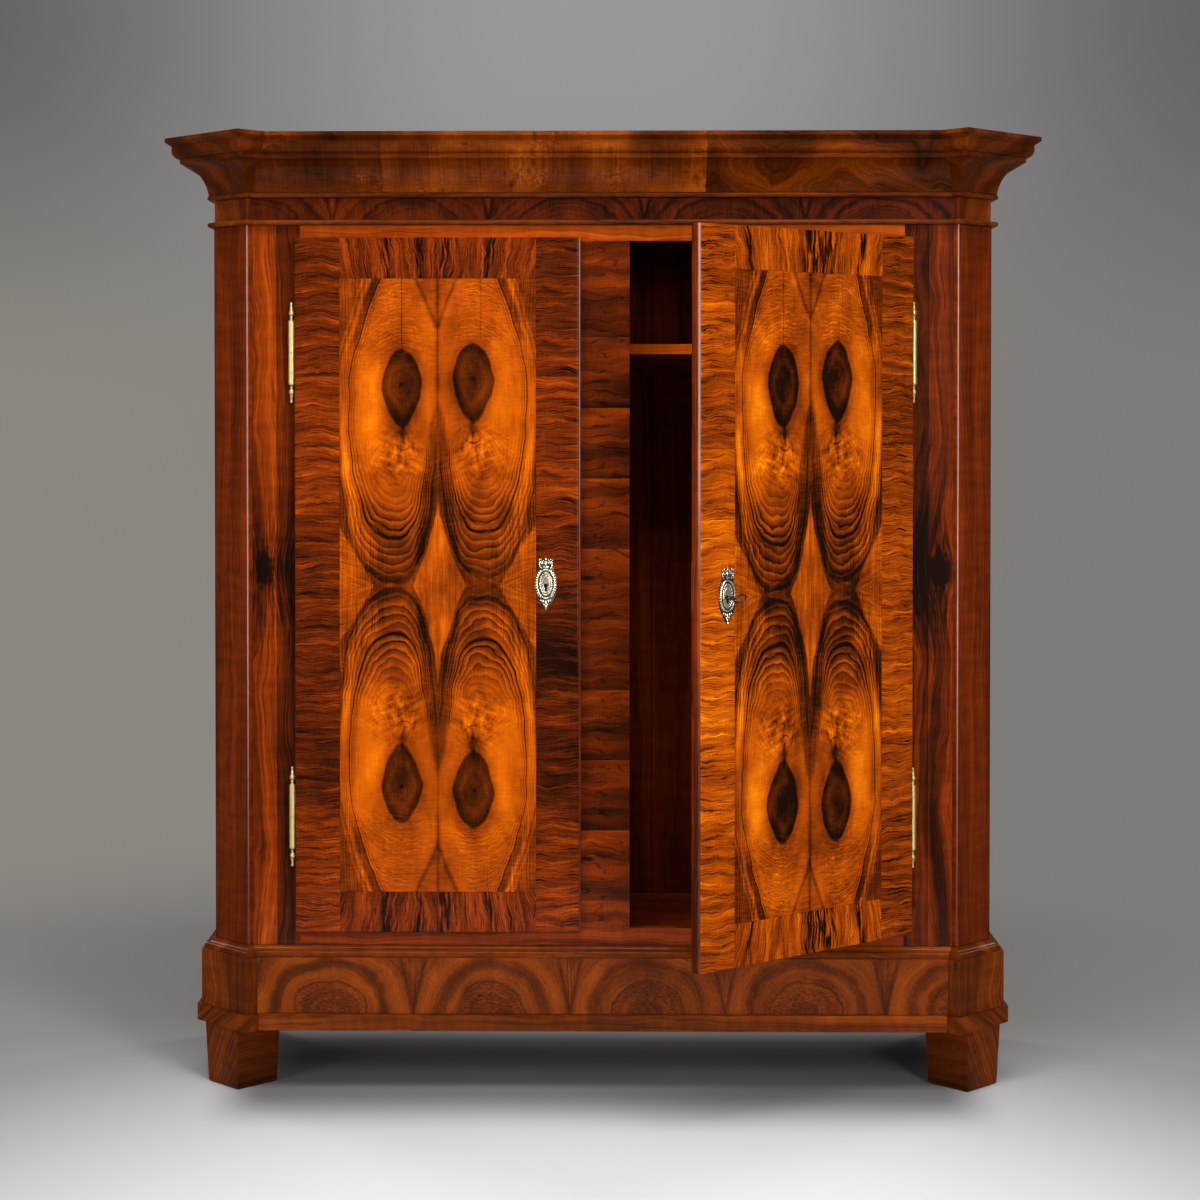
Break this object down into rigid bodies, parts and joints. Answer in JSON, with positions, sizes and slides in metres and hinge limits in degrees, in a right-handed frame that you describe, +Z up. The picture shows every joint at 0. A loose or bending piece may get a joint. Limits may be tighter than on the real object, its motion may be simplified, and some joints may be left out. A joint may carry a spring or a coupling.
{
  "type": "wardrobe",
  "caption": "Tall veneered wardrobe with canted corners, moulded cornice, plinth on block feet, hinged flush doors with locks, a hat shelf and peg rails for hanging clothes.",
  "frame": {"origin": "middle of the whole object's box, with its right door ajar as pictured, at floor level", "axes": "+Z up, the front faces -Y, +X to the right of someone who looks at the front"},
  "size_m": [1.846, 0.8828, 2],
  "materials": {
    "veneered_front": "glossy shellac over figured walnut veneer",
    "veneered_side": "satin shellac over straight walnut veneer",
    "moulding": "glossy shellac over cross-grained walnut veneer",
    "foot_wood": "glossy shellac over walnut veneer",
    "carcass_wood": "old bare softwood",
    "hinge_brass": "aged polished brass",
    "silvered_brass": "silvered brass",
    "lock_steel": "dull worn steel",
    "key_steel": "dark worn steel"
  },
  "bodies": {
    "case": {"stile_left": "veneered_front", "stile_right": "veneered_front", "bottom_rail": "veneered_front", "top_rail": "veneered_front", "centre_post": "veneered_front", "pilaster_left": "veneered_front", "pilaster_right": "veneered_front", "plinth_front": "veneered_front", "plinth_corner_left": "veneered_front", "plinth_corner_right": "veneered_front", "frieze_front": "veneered_front", "frieze_left": "veneered_front", "frieze_right": "veneered_front", "case_side_left": "veneered_side", "case_side_right": "veneered_side", "plinth_side_left": "veneered_side", "plinth_side_right": "veneered_side", "cornice_front": "moulding", "cornice_left": "moulding", "cornice_right": "moulding", "architrave_beads": "moulding", "cornice_beads": "moulding", "plinth_moulding_front": "moulding", "plinth_moulding_left": "moulding", "plinth_moulding_right": "moulding", "base_band_front": "moulding", "base_band_left": "moulding", "base_band_right": "moulding", "foot_front_left": "foot_wood", "foot_front_right": "foot_wood", "foot_rear_left": "foot_wood", "foot_rear_right": "foot_wood", "base_rail_back": "carcass_wood", "plinth_back": "carcass_wood", "cornice_back": "carcass_wood", "dust_board": "carcass_wood", "case_floor": "carcass_wood", "case_top": "carcass_wood", "back_boards": "carcass_wood", "hat_shelf": "carcass_wood", "shelf_bearers": "carcass_wood", "peg_rail_left": "carcass_wood", "peg_rail_right": "carcass_wood", "left_hinge_pins": "hinge_brass", "right_hinge_pins": "hinge_brass", "hinge_rings": "hinge_brass", "left_strike_plate": "lock_steel", "right_strike_plate": "lock_steel"},
    "left_door": {"left_door": "veneered_front", "left_escutcheon": "silvered_brass", "left_lock_case": "lock_steel", "left_hinge_barrels": "hinge_brass"},
    "right_door": {"right_door": "veneered_front", "right_escutcheon": "silvered_brass", "right_lock_case": "lock_steel", "right_hinge_barrels": "hinge_brass"},
    "left_bolt": {"left_lock_bolt": "lock_steel"},
    "right_bolt": {"right_lock_bolt": "lock_steel"},
    "key": {"key": "key_steel"}
  },
  "joints": [
    {"name": "left_door_hinge", "type": "hinge", "parent": "case", "child": "left_door", "pos_m": [-0.65, -0.05455, 1.06], "axis": [0, 0, -1], "range_deg": [0, 165]},
    {"name": "right_door_hinge", "type": "hinge", "parent": "case", "child": "right_door", "pos_m": [0.65, -0.05455, 1.06], "axis": [0, 0, 1], "range_deg": [-39.5, 125.5]},
    {"name": "left_bolt_slide", "type": "slide", "parent": "left_door", "child": "left_bolt", "axis": [1, 0, 0], "range_m": [0, 0.0156]},
    {"name": "right_bolt_slide", "type": "slide", "parent": "right_door", "child": "right_bolt", "axis": [-0.7716, -0.6361, 0], "range_m": [0, 0.0155]},
    {"name": "key_turn", "type": "hinge", "parent": "right_door", "child": "key", "pos_m": [0.23888, -0.39345, 1.06], "axis": [0.6361, -0.7716, 0], "range_deg": [0, 110]}
  ],
  "couplings": [
    {"joint": "key_turn", "follows": "right_bolt_slide", "rad_per_m": 123.4}
  ]
}
